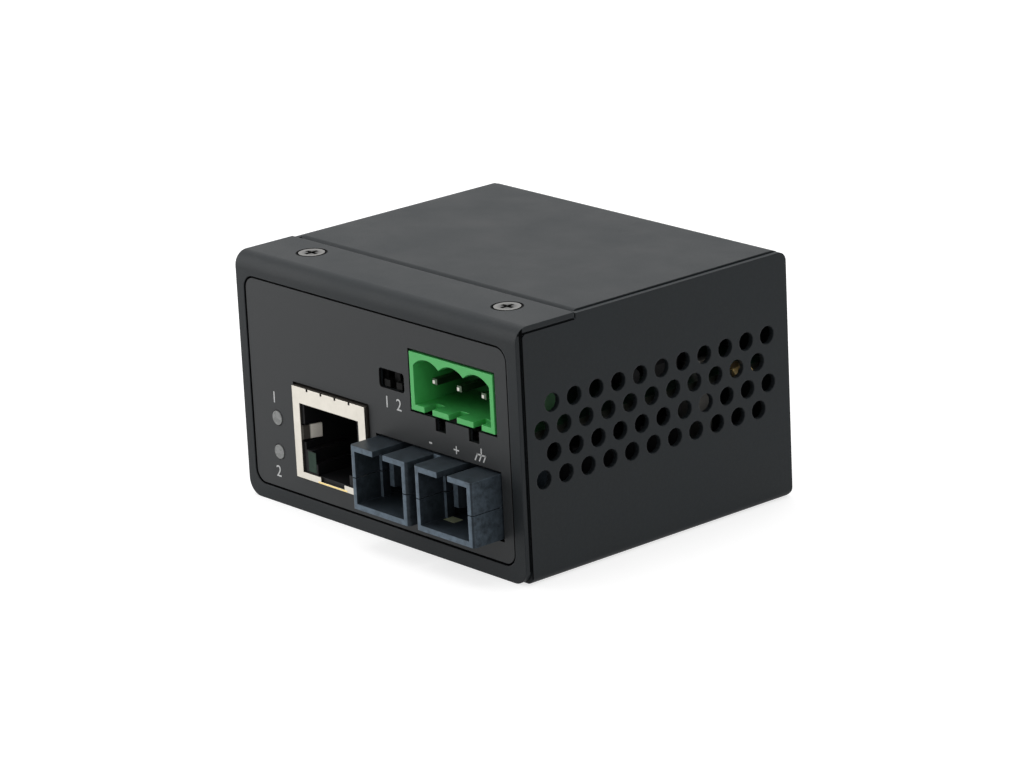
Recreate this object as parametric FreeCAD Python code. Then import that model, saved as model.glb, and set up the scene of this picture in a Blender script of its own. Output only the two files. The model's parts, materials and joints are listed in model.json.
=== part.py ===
# Fibre media converter: a folded sheet case round two stacked boards with their sockets and switch.
#
# Millimetres. X runs along the front face, Y from front to back and Z up. The origin is the middle
# of the footprint, on the plane that the case stands on.

import FreeCAD, Part
import math
import os

V = FreeCAD.Vector
X, Y, Z = V(1, 0, 0), V(0, 1, 0), V(0, 0, 1)
TINY = 0.01
hidden_flats = 12           # flats that draw a vent or a hidden round bar
shown_flats = 24            # flats that draw a small round face that shows

# ---- case ------------------------------------------------------------------------------------
case_width = 60.0
case_depth = 50.0
case_height = 36.0
sheet = 0.8                 # thickness of every folded sheet
seam = 0.25                 # gap where two sheets meet edge to edge
lap_gap = 0.1               # gap where one sheet lies over another
wall_drop = 0.2             # side walls' tops below the roof
floor_bend = 1.0            # outside bend radius between the floor and the side walls
cover_bend = 2.1            # outside bend radius of the front cover
face_corner = 2.4           # rounding of the front cover's lower corners
roof_bend = 1.8             # outside bend radius between the roof and the rear panel
lip_bend = 1.4              # outside bend radius of the rear lip and of the brackets
wall_corner = 1.4           # rounding of the side walls' rear corners
panel_corner = 4.0          # rounding of the rear panel's lower corners
foot_gap = 0.3              # rear panel's lower edge above the standing plane
flange_depth = 10.5         # front cover's top flange, from the face
joggle_run = 0.9            # length over which the roof steps down under the flange
joggle_bend = 0.7           # rounding of the step's upper edge
tongue_gap = 1.4            # roof's tongue under the flange, from the face sheet
bend_relief = 0.5           # slots beside the bent lip

# ---- case screws -----------------------------------------------------------------------------
screw_head = 3.8
screw_head_height = 0.8
screw_neck = 2.4            # foot of the head's cone
screw_thread = 2.2
screw_end = 1.5             # length beyond the sheets that a screw holds
screw_clearance = 0.2       # round the head, in its countersink
thread_gap = 0.05           # between a thread and its tapped wall
cross_width = 0.6
cross_span = 2.2
cross_depth = 0.5
flange_screw_side = 9.1     # from the case's side to each flange screw
flange_screw_y = 6.7        # from the face to each flange screw
bracket_side = 6.6          # from the case's side to each bracket's middle
bracket_width = 6.0
bracket_reach = 7.0
bracket_height = 3.2
lip_height = 9.0
lip_end = 6.0               # from the case's side to the end of the lip
rear_screw_x = 14.0
rear_screw_z = 6.6

# ---- rail clip fixing at the back ------------------------------------------------------------
clip_spacing = 24.0
clip_z = 13.5
clip_thread = 2.5
nut_diameter = 5.6
nut_shank = 4.2
nut_height = 2.0

# ---- vents in both side walls ----------------------------------------------------------------
vent_diameter = 2.7
vent_pitch = 4.0
vent_rows = 4
vent_front = 5.9            # from the face to the first hole of the top row
vent_back = 3.5             # least distance from a hole's middle to the back
vent_top = 24.55            # height of the top row

# ---- overlay film on the face ----------------------------------------------------------------
overlay_left = 1.95         # from the case's left side to the film
overlay_right = 2.35
overlay_bottom = 2.4
overlay_drop = 3.3          # from the case's top to the film
overlay_corner = 1.8
overlay_film = 0.3
overlay_recess = 0.4
overlay_groove = 0.3

# ---- board stack -----------------------------------------------------------------------------
board = 1.6
board_side_gap = 0.9        # board edge to side wall
board_front_gap = 1.6       # board edge to the face sheet
board_back_gap = 0.6        # board edge to the rear lip
board_corner = 1.5
lower_post = 2.8            # clinched posts under the main board
lower_post_diameter = 5.0
upper_post = 13.6           # hexagon posts between the boards
upper_post_flats = 4.5
post_thread = 2.5
post_stud = 2.2
post_bore = 6.8             # depth of the tapped hole in each hexagon post
post_screw = 5.0            # length of the screws in them
post_x = 22.6
post_gap = 5.0              # rear posts, behind the optical module
post_front = 9.0            # front left post, from the middle
post_hole_gap = 0.15
pan_head = 4.6
pan_height = 1.7
pan_bevel = 0.4

# ---- copper socket ---------------------------------------------------------------------------
jack_x = -10.2
jack_proud = 0.45           # rim in front of the face
jack_width = 16.0
jack_height = 13.5
jack_depth = 21.3
jack_shell = 0.3
jack_mouth_width = 13.0
jack_mouth_height = 10.2
jack_mouth_sill = 0.95
jack_latch_slot = 5.2
jack_ledge_height = 3.4     # upper ledge, above the mouth's sill
jack_ledge = 1.9            # width of each upper ledge
jack_step_height = 1.6
jack_step = 1.1
jack_cavity_depth = 14.0
jack_notch = 0.4
jack_notch_pitch = 3.1
jack_notches = 4
finger_z = 5.7              # earthing fingers, above the main board
finger_width = 2.05
finger_length = 3.1
finger_reach = 0.95         # how far each finger leans into the mouth
contact_count = 8
contact_pitch = 1.02
contact_width = 0.4
contact_thickness = 0.3
contact_front = 3.5         # behind the jack's front
contact_drop = 2.2
cutout_gap = 0.35           # between a socket and the hole in the face

# ---- duplex optical receptacle ---------------------------------------------------------------
optic_x = 12.6
optic_pitch = 13.55
optic_port_width = 12.0
optic_foot = 0.5            # underside of the noses above the main board
optic_height = 9.2          # height of the noses
optic_nose = 5.0            # length in front of the face
optic_body = 8.5            # length behind the face
optic_side = 1.0
optic_lid = 0.8             # upper and lower walls
optic_key = 2.2
optic_key_run = 3.0         # length of the key slots behind the face
optic_edge = 0.5
optic_line = 0.14           # open line between the two halves at the nose
optic_cavity_end = 1.0      # wall behind the cavity
rib_width = 0.5
rib_depth = 1.3
core_base = 1.2
core_gap = 0.1
core_arm = 0.9
core_arm_height = 4.6
core_arm_spacing = 6.4
core_arm_length = 6.0
core_hook = 0.5
core_barrel = 4.8
core_barrel_length = 5.2
sleeve_outer = 3.2
sleeve_bore = 2.5
sleeve_length = 4.6
module_width = 25.2
module_depth = 25.0
module_height = 9.0
module_rib = 0.5
module_ribs = 3
module_corner = 0.75
module_pins = 9
module_pin = 0.46
module_pin_pitch = 2.54
pin_tail = 1.1
pin_hole_gap = 0.15

# ---- terminal header -------------------------------------------------------------------------
header_x = 16.3
header_pitch = 5.08
header_poles = 3
header_end = 3.54           # last pin to the outer side
header_height = 8.3
header_depth = 12.0
header_side = 0.75
header_crown = 0.7          # top wall over each scallop
header_scallop = 3.9        # radius of the scallops
header_floor = 0.8
header_back = 2.2
header_notch = 1.7
header_pin = 0.9
header_pin_bevel = 0.22
header_pin_z = 4.3          # above the power board
header_pin_setback = 1.2
relief_x = 17.0             # middle of the two reliefs under the header's cut-out
relief_side = 3.45          # from there to each of them
relief_width = 2.1
relief_depth = 2.1

# ---- two-way switch --------------------------------------------------------------------------
switch_x = 3.55
switch_pitch = 2.54
switch_ways = 2
switch_width = 6.7
switch_height = 7.0
switch_depth = 6.0
switch_setback = 0.4        # behind the face sheet
window_width = 5.35
window_height = 2.8
window_z = 3.25             # window's middle above the power board
window_corner = 0.5
lever_width = 1.2
lever_height = 1.0
lever_travel = 1.4
lever_reach = 0.8           # in front of the switch's face
lever_root = 2.4
lever_foot = 0.5            # widening of the root inside the body
lever_gap = 0.1

# ---- indicators ------------------------------------------------------------------------------
lens_x = -22.6
lens_diameter = 2.1
lens_low = 2.55             # above the main board
lens_pitch = 5.05
lens_proud = 0.1            # lens in front of the film
lens_rim = 3.0
lens_collar = 0.8
lens_tail = 0.4             # pin behind the collar, in the holder
lens_gap = 0.1
holder_width = 4.6
holder_depth = 5.5
holder_roof = 2.2

# ---- board parts -----------------------------------------------------------------------------
chip_side = 9.0
chip_height = 1.4
chip_x = -10.0
chip_gap = 0.6              # behind the line transformer
chip_legs = 6
chip_leg_pitch = 1.27
chip_leg_reach = 1.0
chip_leg_width = 0.45
chip_leg_height = 0.35
crystal_length, crystal_width, crystal_height = 9.0, 3.6, 3.4
crystal_x = 14.5
crystal_back = 4.8          # from the board's back edge
magnetics_width, magnetics_depth, magnetics_height = 12.6, 7.0, 5.4
magnetics_x = -10.0
magnetics_gap = 1.6         # behind the copper socket
magnetics_bevel = 0.75
coil_side, coil_height, coil_corner = 8.0, 5.0, 1.6
coil_x, coil_y = -13.0, -3.0
converter_width, converter_depth, converter_height = 13.0, 11.0, 8.6
converter_x, converter_y = 6.0, 3.0
can_diameter, can_height, can_foot, can_bevel = 6.3, 7.7, 1.3, 0.6
can_x, can_y = -12.0, 12.0
can_pitch = 9.0
can_count = 2
main_can_diameter, main_can_height, main_can_foot = 5.0, 5.4, 0.9
main_can_x, main_can_y = -20.5, 6.0
fuse_diameter, fuse_length = 2.6, 7.0
fuse_x = 20.0
fuse_gap = 6.5              # middle of the fuse in front of the rectifier's
rectifier_width, rectifier_depth, rectifier_height = 6.0, 4.6, 2.4
rectifier_x = 20.0
rectifier_gap = 5.5         # middle of the rectifier in front of the rear posts
link_x = 2.0
link_back = 3.0             # from the board's back edge
link_pitch = 2.0
link_pins = 6
link_pin = 0.5
link_bottom = 4.3           # pins' lower ends, above the main board
clip_y = 17.2               # brass earthing clip on the power board's right edge
clip_width = 3.2
clip_sheet = 0.25
clip_grip = 2.2

# ---- planes and centres worked out from the sizes above --------------------------------------
half = case_width / 2
front = -case_depth / 2
back = case_depth / 2
face_back = front + sheet
wall_front = face_back + seam
wall_inner = half - sheet
roof_half = wall_inner - seam
roof_front = front + flange_depth + seam
wall_top = case_height - wall_drop
lap_top = case_height - sheet - lap_gap
screw_length = 2 * sheet + lap_gap + screw_end
lip_back = back - sheet - lap_gap
screw_y = front + flange_screw_y
flange_screw_x = half - flange_screw_side
bracket_x = half - bracket_side
lip_half = half - lip_end
overlay_width = case_width - overlay_left - overlay_right
overlay_x = (overlay_left - overlay_right) / 2
overlay_top = case_height - overlay_drop
vent_columns = math.floor((case_depth - vent_front - vent_back) / vent_pitch) + 1
bracket_y = face_back + bracket_reach - bracket_width / 2

board_half = wall_inner - board_side_gap
board_front = face_back + board_front_gap
board_back = lip_back - sheet - board_back_gap
main_bottom = sheet + lower_post
main_top = main_bottom + board
power_bottom = main_top + upper_post
power_top = power_bottom + board

jack_front = front - jack_proud
jack_sill = main_top + jack_mouth_sill
jack_head = jack_sill + jack_mouth_height
jack_end = jack_front + jack_depth

optic_front = front - optic_nose
optic_end = front + optic_body
optic_bottom = main_top + optic_foot
optic_top = optic_bottom + optic_height
optic_middle = optic_bottom + optic_height / 2
optic_cavity_back = optic_end - optic_cavity_end
optic_ports = [optic_x - optic_pitch / 2, optic_x + optic_pitch / 2]
optic_half = optic_pitch / 2 + optic_port_width / 2
module_end = optic_end + module_depth
post_back = module_end + post_gap
posts = [(post_x, post_back), (-post_x, post_back), (-post_x, -post_front)]

header_pins_x = [header_x + (i - (header_poles - 1) / 2) * header_pitch for i in range(header_poles)]
header_half = (header_poles - 1) * header_pitch / 2 + header_end
header_front = front + TINY
header_end_y = header_front + header_depth
header_top = power_top + header_height

switch_front = face_back + switch_setback
lever_z = power_top + window_z
levers_x = [switch_x + (i - (switch_ways - 1) / 2) * switch_pitch for i in range(switch_ways)]
lens_heights = [main_top + lens_low, main_top + lens_low + lens_pitch]

magnetics_y = jack_end + magnetics_gap + magnetics_depth / 2
chip_y = magnetics_y + magnetics_depth / 2 + chip_gap + chip_leg_reach + chip_side / 2
crystal_y = board_back - crystal_back
link_y = board_back - link_back
rectifier_y = post_back - rectifier_gap
fuse_y = rectifier_y - fuse_gap


# ---- helpers ---------------------------------------------------------------------------------
def box(x0, x1, y0, y1, z0, z1):
    """Block between two corners."""
    return Part.makeBox(x1 - x0, y1 - y0, z1 - z0, V(x0, y0, z0))


def block(x, y, z, width, depth, height):
    """Block centred on x, y that stands on z."""
    return box(x - width / 2, x + width / 2, y - depth / 2, y + depth / 2, z, z + height)


def rod(start, direction, diameter, length):
    """Cylinder from its start point along a direction."""
    return Part.makeCylinder(diameter / 2, length, start, direction)


def flat_face(points):
    """Flat face inside a closed outline of points."""
    return Part.Face(Part.makePolygon(points + points[:1]))


def ring(start, direction, diameter, flats):
    """Corners of a small round that is drawn with flats."""
    side = direction.cross(Z if abs(direction.x) > 0.5 else X)
    other = direction.cross(side)
    turns = [2 * math.pi * (i + 0.5) / flats for i in range(flats)]
    return [start + (side * math.cos(t) + other * math.sin(t)) * (diameter / 2) for t in turns]


def flat_sided(start, direction, diameter, length, flats=hidden_flats):
    """Small round bar or hole drawn with flats, to keep what repeats or lies hidden light."""
    return flat_face(ring(start, direction, diameter, flats)).extrude(direction * length)


def flat_cone(start, direction, wide, narrow, length):
    """Small cone drawn with flats, from its wide end."""
    top = ring(start, direction, wide, shown_flats)
    foot = ring(start + direction * length, direction, narrow, shown_flats)
    faces = [flat_face(top), flat_face(foot)]
    for i in range(shown_flats):
        faces.append(flat_face([top[i - 1], top[i], foot[i], foot[i - 1]]))
    return Part.Solid(Part.Shell(faces))


def tube(start, direction, outer, bore, length, flats):
    """Straight tube."""
    return flat_sided(start, direction, outer, length, flats).cut(
        flat_sided(start, direction, bore, length, flats))


def prism(points, direction):
    """Solid swept from a closed outline of points."""
    return flat_face(points).extrude(direction)


def rounded(shape, radius, axis, chosen=lambda p: True):
    """Shape with its straight edges along an axis rounded where the edge's middle is chosen."""
    edges = []
    for edge in shape.Edges:
        along = edge.Vertexes[-1].Point - edge.Vertexes[0].Point
        if along.Length > TINY and abs(along.dot(axis)) > 0.999 * along.Length:
            if chosen(edge.CenterOfMass):
                edges.append(edge)
    return shape.makeFillet(radius, edges)


def bevelled(shape, size, chosen):
    """Shape with its chosen edges bevelled."""
    return shape.makeChamfer(size, [edge for edge in shape.Edges if chosen(edge)])


def upright(edge):
    """Whether a straight edge stands along Z."""
    return abs(edge.tangentAt(edge.FirstParameter).z) > 1 - TINY


def angle(corner, a, b, leg_a, leg_b, across, bend):
    """Bent sheet: legs along a and b from the outer corner, swept across."""
    def at(u, v):
        return corner + a * u + b * v

    inner = bend - sheet
    outer_mid = bend * (1 - math.sqrt(0.5))
    inner_mid = bend - inner * math.sqrt(0.5)
    edges = [
        Part.LineSegment(at(leg_a, 0), at(bend, 0)).toShape(),
        Part.Arc(at(bend, 0), at(outer_mid, outer_mid), at(0, bend)).toShape(),
        Part.LineSegment(at(0, bend), at(0, leg_b)).toShape(),
        Part.LineSegment(at(0, leg_b), at(sheet, leg_b)).toShape(),
        Part.LineSegment(at(sheet, leg_b), at(sheet, bend)).toShape(),
        Part.Arc(at(sheet, bend), at(inner_mid, inner_mid), at(bend, sheet)).toShape(),
        Part.LineSegment(at(bend, sheet), at(leg_a, sheet)).toShape(),
        Part.LineSegment(at(leg_a, sheet), at(leg_a, 0)).toShape(),
    ]
    return Part.Face(Part.Wire(edges)).extrude(across)


def hexagon_bar(x, y, z, flats, height):
    """Upright hexagon bar with two of its flats facing along X."""
    reach = flats / math.sqrt(3)
    turns = [math.radians(30 + 60 * i) for i in range(6)]
    points = [V(x + reach * math.cos(t), y + reach * math.sin(t), z) for t in turns]
    return prism(points, Z * height)


def countersunk_screw(top, inward, length):
    """Countersunk screw with a cross recess; top is the middle of its flat head."""
    head = flat_cone(top, inward, screw_head, screw_neck, screw_head_height)
    shank = flat_sided(top, inward, screw_thread - 2 * thread_gap, length)
    side = X
    other = inward.cross(side)
    recess = []
    for long_way, short_way in ((side, other), (other, side)):
        start = top - long_way * (cross_span / 2) - short_way * (cross_width / 2)
        corners = [start, start + long_way * cross_span]
        corners += [corners[1] + short_way * cross_width, start + short_way * cross_width]
        recess.append(prism(corners, inward * cross_depth))
    return head.fuse(shank).removeSplitter().cut(recess)


def countersink(top, inward):
    """Tool that cuts a screw's countersunk hole."""
    wide = screw_head + 2 * screw_clearance
    narrow = screw_neck + 2 * screw_clearance
    cone = flat_cone(top, inward, wide, narrow, screw_head_height)
    return cone.fuse(flat_sided(top, inward, narrow, screw_length))


def both_sides(x):
    """A distance from the middle, on the right and on the left."""
    return (x, -x)


# ---- case ------------------------------------------------------------------------------------
def vents():
    """Staggered rows of holes that pass through both side walls."""
    row_pitch = vent_pitch * math.sqrt(3) / 2
    tools = []
    for row in range(vent_rows):
        shift = -vent_pitch / 2 if row % 2 else 0
        for column in range(vent_columns):
            y = front + vent_front + shift + column * vent_pitch
            z = vent_top - row * row_pitch
            tools.append(flat_sided(V(-half - sheet, y, z), X, vent_diameter, 2 * half + 2 * sheet))
    return tools


def chassis_channel():
    """Floor and two side walls, bent from one sheet, with the walls' rear corners rounded."""
    outer = box(-half, half, wall_front, back, 0, wall_top)
    outer = rounded(outer, floor_bend, Y, lambda p: p.z < TINY)
    hollow = box(-wall_inner, wall_inner, wall_front, back, sheet, case_height)
    hollow = rounded(hollow, floor_bend - sheet, Y, lambda p: p.z < sheet + TINY)
    outline = box(-half, half, wall_front, back, 0, wall_top)
    outline = rounded(outline, wall_corner, X, lambda p: p.y > back - TINY)
    return outer.cut(hollow).common(outline)


def chassis():
    """Folded U of sheet with vents, walls lowered under the front flange and a lip at the back."""
    flange_room = box(-half - sheet, half + sheet, front, roof_front, lap_top, case_height + sheet)
    body = chassis_channel().cut(flange_room)
    body = rounded(body, cover_bend - sheet, X,
                   lambda p: p.y < wall_front + TINY and p.z > lap_top - TINY)
    rear_room = box(-half + floor_bend, half - floor_bend, lip_back, back + sheet, -sheet, sheet + TINY)
    lip_room = box(-lip_half, lip_half, lip_back - lip_bend - bend_relief, back, -sheet, sheet + TINY)
    body = body.cut([rear_room, lip_room])
    lip = angle(V(-lip_half, lip_back, 0), -Y, Z, lip_bend + bend_relief, lip_height,
                X * 2 * lip_half, lip_bend)
    body = body.fuse(lip).removeSplitter()
    holes = vents()
    for x in both_sides(rear_screw_x):
        holes.append(flat_sided(V(x, back, rear_screw_z), -Y, screw_thread, 4 * sheet))
    for x in both_sides(bracket_x):
        holes.append(countersink(V(x, bracket_y, 0), Z))
    for x, y in posts:
        holes.append(flat_sided(V(x, y, -sheet), Z, lower_post_diameter - sheet, 3 * sheet))
    return body.cut(holes)


def top_cover():
    """Roof with a tapped tongue stepped down under the front flange, folded down at the back."""
    flat_start = roof_front + joggle_run
    body = angle(V(-roof_half, back, case_height), -Y, -Z, back - flat_start, case_height - foot_gap,
                 X * 2 * roof_half, roof_bend)
    body = rounded(body, panel_corner, Y, lambda p: p.z < foot_gap + TINY)
    low = lap_top
    step = [V(-roof_half, flat_start, case_height), V(-roof_half, roof_front, low),
            V(-roof_half, roof_front, low - sheet), V(-roof_half, flat_start, case_height - sheet)]
    tongue = box(-roof_half, roof_half, face_back + tongue_gap, roof_front, low - sheet, low)
    body = body.fuse([prism(step, X * 2 * roof_half), tongue]).removeSplitter()
    body = rounded(body, joggle_bend, X,
                   lambda p: abs(p.y - flat_start) < TINY and p.z > case_height - TINY)
    holes = [countersink(V(x, back, rear_screw_z), -Y) for x in both_sides(rear_screw_x)]
    for x in both_sides(clip_spacing / 2):
        holes.append(flat_sided(V(x, back + sheet, clip_z), -Y, nut_shank, 3 * sheet))
    for x in both_sides(flange_screw_x):
        holes.append(flat_sided(V(x, screw_y, case_height), -Z, screw_thread, 3 * sheet))
    return body.cut(holes)


def face_plate(width, bottom, top, corner, y0, y1, x=0):
    """Upright plate with rounded corners, between two depths."""
    return rounded(box(x - width / 2, x + width / 2, y0, y1, bottom, top), corner, Y)


def face_openings(gap, y0, y1):
    """Tools for everything that shows through the face, each larger than its part by a gap."""
    jack = box(jack_x - jack_width / 2 - gap, jack_x + jack_width / 2 + gap, y0, y1,
               main_top - gap, main_top + jack_height + gap)
    optic = box(optic_x - optic_half - gap, optic_x + optic_half + gap, y0, y1,
                optic_bottom - gap, optic_top + gap)
    header = box(header_x - header_half - gap, header_x + header_half + gap, y0, y1,
                 power_top - gap, header_top + gap)
    reliefs = []
    for side in (1, -1):
        x = relief_x + side * relief_side
        reliefs.append(box(x - relief_width / 2, x + relief_width / 2, y0, y1,
                           power_top - relief_depth, power_top))
    window = face_plate(window_width, lever_z - window_height / 2, lever_z + window_height / 2,
                        window_corner, y0, y1, switch_x)
    lenses = [flat_sided(V(lens_x, y0, z), Y, lens_diameter + 2 * lens_gap, y1 - y0, shown_flats)
              for z in lens_heights]
    return [jack, optic, header, window] + reliefs + lenses


def front_cover():
    """Face and top flange, bent from one sheet, recessed for the overlay."""
    body = angle(V(-half, front, case_height), Y, -Z, flange_depth, case_height,
                 X * case_width, cover_bend)
    body = rounded(body, face_corner, Y, lambda p: p.z < TINY)
    recess = face_plate(overlay_width + 2 * overlay_groove, overlay_bottom - overlay_groove,
                        overlay_top + overlay_groove, overlay_corner + overlay_groove,
                        front - sheet, front + overlay_recess, overlay_x)
    tools = [recess] + face_openings(cutout_gap, front - sheet, face_back + sheet)
    tools += [countersink(V(x, screw_y, case_height), -Z) for x in both_sides(flange_screw_x)]
    return body.cut(tools)


def front_overlay():
    """Film that lies in the recess of the face."""
    film = face_plate(overlay_width, overlay_bottom, overlay_top, overlay_corner,
                      front + overlay_recess - overlay_film, front + overlay_recess, overlay_x)
    return film.cut(face_openings(cutout_gap, front - sheet, face_back))


def cover_brackets():
    """Two small angles, welded behind the face and tapped for the screws through the floor."""
    parts = []
    for x in both_sides(bracket_x):
        corner = V(x - bracket_width / 2, face_back, sheet)
        bracket = angle(corner, Y, Z, bracket_reach, bracket_height, X * bracket_width, lip_bend)
        hole = flat_sided(V(x, bracket_y, 0), Z, screw_thread, 4 * sheet)
        parts.append(bracket.cut(hole))
    return Part.makeCompound(parts)


def screw_set(tops, inward, length=screw_length):
    """Identical countersunk screws."""
    return Part.makeCompound([countersunk_screw(top, inward, length) for top in tops])


def cover_screws():
    """Two screws through the front cover's flange into the roof's tongue."""
    return screw_set([V(x, screw_y, case_height) for x in both_sides(flange_screw_x)], -Z)


def rear_screws():
    """Two screws through the rear panel into the chassis lip."""
    return screw_set([V(x, back, rear_screw_z) for x in both_sides(rear_screw_x)], -Y)


def bottom_screws():
    """Two short screws through the floor into the front cover's brackets."""
    return screw_set([V(x, bracket_y, 0) for x in both_sides(bracket_x)], Z, 2 * sheet + lap_gap)


def clip_nuts():
    """Two nuts clinched in the rear panel, tapped for a rail clip."""
    parts = []
    for x in both_sides(clip_spacing / 2):
        shank = flat_sided(V(x, back, clip_z), -Y, nut_shank, sheet)
        collar = flat_sided(V(x, back - sheet, clip_z), -Y, nut_diameter, nut_height)
        bore = rod(V(x, back + sheet, clip_z), -Y, clip_thread, 2 * sheet + nut_height + sheet)
        parts.append(shank.fuse(collar).removeSplitter().cut(bore))
    return Part.makeCompound(parts)


# ---- boards and posts ------------------------------------------------------------------------
def bare_board(bottom):
    """Board with cut corners and its post holes."""
    plate = box(-board_half, board_half, board_front, board_back, bottom, bottom + board)
    plate = bevelled(plate, board_corner, upright)
    return plate.cut([flat_sided(V(x, y, bottom - sheet), Z, post_stud + 2 * post_hole_gap,
                                 board + 2 * sheet) for x, y in posts])


def main_board():
    """Lower board, with holes for the optical module's pins."""
    holes = [block(x, y, main_bottom - sheet, module_pin + 2 * pin_hole_gap,
                   module_pin + 2 * pin_hole_gap, board + 2 * sheet) for x, y in module_pin_places()]
    return bare_board(main_bottom).cut(holes)


def power_board():
    """Upper board, with holes for the header's pins."""
    holes = [block(x, header_tail_y(), power_bottom - sheet, header_pin + 2 * pin_hole_gap,
                   header_pin + 2 * pin_hole_gap, board + 2 * sheet) for x in header_pins_x]
    return bare_board(power_bottom).cut(holes)


def lower_posts():
    """Posts clinched in the floor, tapped for the studs above."""
    parts = []
    for x, y in posts:
        body = flat_sided(V(x, y, sheet), Z, lower_post_diameter, lower_post)
        shank = flat_sided(V(x, y, 0), Z, lower_post_diameter - sheet, sheet)
        bore = flat_sided(V(x, y, sheet / 2), Z, post_thread, sheet + lower_post)
        parts.append(body.fuse(shank).removeSplitter().cut(bore))
    return Part.makeCompound(parts)


def upper_posts():
    """Hexagon posts with a stud below, through the main board, and a tapped hole above."""
    parts = []
    for x, y in posts:
        bar = hexagon_bar(x, y, main_top, upper_post_flats, upper_post)
        stud = flat_sided(V(x, y, main_top), -Z, post_stud, board + lower_post)
        bore = flat_sided(V(x, y, power_bottom), -Z, post_thread, post_bore)
        parts.append(bar.fuse(stud).removeSplitter().cut(bore))
    return Part.makeCompound(parts)


def board_screws():
    """Pan-head screws that hold the power board on its posts."""
    parts = []
    for x, y in posts:
        head = flat_sided(V(x, y, power_top), Z, pan_head, pan_height)
        head = bevelled(head, pan_bevel, lambda e: e.CenterOfMass.z > power_top + pan_height - TINY)
        shank = flat_sided(V(x, y, power_top), -Z, post_stud, post_screw)
        recess = [block(x, y, power_top + pan_height / 2, cross_span, cross_width, pan_height),
                  block(x, y, power_top + pan_height / 2, cross_width, cross_span, pan_height)]
        parts.append(head.fuse(shank).removeSplitter().cut(recess))
    return Part.makeCompound(parts)


def earth_clip():
    """Brass spring clip on the power board's edge that earths it to the side wall."""
    outer = box(board_half - clip_grip, board_half + clip_sheet, clip_y - clip_width / 2,
                clip_y + clip_width / 2, power_bottom - clip_sheet, power_top + clip_sheet)
    inner = box(board_half - clip_grip - TINY, board_half, clip_y - clip_width, clip_y + clip_width,
                power_bottom, power_top)
    middle = (power_bottom + power_top) / 2
    bow = [V(board_half + clip_sheet, clip_y - clip_width / 2, power_bottom),
           V(wall_inner, clip_y - clip_width / 2, middle - clip_sheet),
           V(wall_inner, clip_y - clip_width / 2, middle + clip_sheet),
           V(board_half + clip_sheet, clip_y - clip_width / 2, power_top)]
    return outer.cut(inner).fuse(prism(bow, Y * clip_width)).removeSplitter()


# ---- copper socket ---------------------------------------------------------------------------
def jack_room():
    """Space inside the shield that the moulded insert fills."""
    half_width = jack_width / 2 - jack_shell
    return box(jack_x - half_width, jack_x + half_width, jack_front + jack_shell, jack_end - jack_shell,
               main_top + jack_shell, main_top + jack_height - jack_shell)


def jack_finger(side):
    """Earthing finger: a leaf that leans back and inwards from the mouth's edge."""
    rim = jack_x + side * jack_mouth_width / 2
    tip = rim - side * finger_reach
    end = jack_front + finger_length
    z = main_top + finger_z
    return prism([V(rim, jack_front, z), V(tip, end, z), V(tip + side * jack_shell, end, z),
                  V(rim + side * jack_shell, jack_front, z)], Z * finger_width)


def jack_shield():
    """Tin-plated shell with a flat front rim, a latch slot and fingers in the mouth."""
    shell = box(jack_x - jack_width / 2, jack_x + jack_width / 2, jack_front, jack_end,
                main_top, main_top + jack_height).cut(jack_room())
    mouth = box(jack_x - jack_mouth_width / 2, jack_x + jack_mouth_width / 2, jack_front - TINY,
                jack_front + jack_shell, jack_sill, jack_head)
    slot = box(jack_x - jack_latch_slot / 2, jack_x + jack_latch_slot / 2, jack_front - TINY,
               jack_front + jack_shell, main_top + jack_shell, jack_sill)
    notches = []
    top = main_top + jack_height
    for i in range(jack_notches):
        x = jack_x + (i - (jack_notches - 1) / 2) * jack_notch_pitch
        notches.append(box(x - jack_notch / 2, x + jack_notch / 2, jack_front - TINY,
                           jack_front + jack_notch, top - jack_notch, top + sheet))
    shell = shell.cut([mouth, slot] + notches)
    return shell.fuse([jack_finger(side) for side in (1, -1)]).removeSplitter()


def jack_insert():
    """Moulded insert with the plug's cavity, its ledges and the latch channel."""
    y1 = jack_front + jack_cavity_depth
    y0 = jack_front
    wide = jack_mouth_width / 2
    ledge = wide - jack_ledge
    step = ledge - jack_step
    room = wide + jack_shell
    fingers = box(jack_x - room, jack_x + room, y0, y0 + finger_length + jack_shell,
                  main_top + finger_z - jack_shell, main_top + finger_z + finger_width + jack_shell)
    plug = box(jack_x - wide + finger_reach - jack_shell, jack_x + wide - finger_reach + jack_shell,
               y0, y1, jack_sill + jack_ledge_height, jack_head)
    middle = box(jack_x - ledge, jack_x + ledge, y0, y1, jack_sill + jack_step_height, jack_head)
    latch = box(jack_x - step, jack_x + step, y0, y1, jack_sill, jack_head)
    return jack_room().cut([fingers, plug, middle, latch])


def jack_contacts():
    """Sprung contacts that slope from the cavity's roof to its back wall."""
    y0 = jack_front + contact_front
    y1 = jack_front + jack_cavity_depth
    parts = []
    for i in range(contact_count):
        x = jack_x + (i - (contact_count - 1) / 2) * contact_pitch - contact_width / 2
        outline = [V(x, y0, jack_head), V(x, y1, jack_head - contact_drop),
                   V(x, y1, jack_head - contact_drop - contact_thickness),
                   V(x, y0 - contact_thickness, jack_head - contact_thickness / 2),
                   V(x, y0 - contact_thickness, jack_head)]
        parts.append(prism(outline, X * contact_width))
    return Part.makeCompound(parts)


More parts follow.
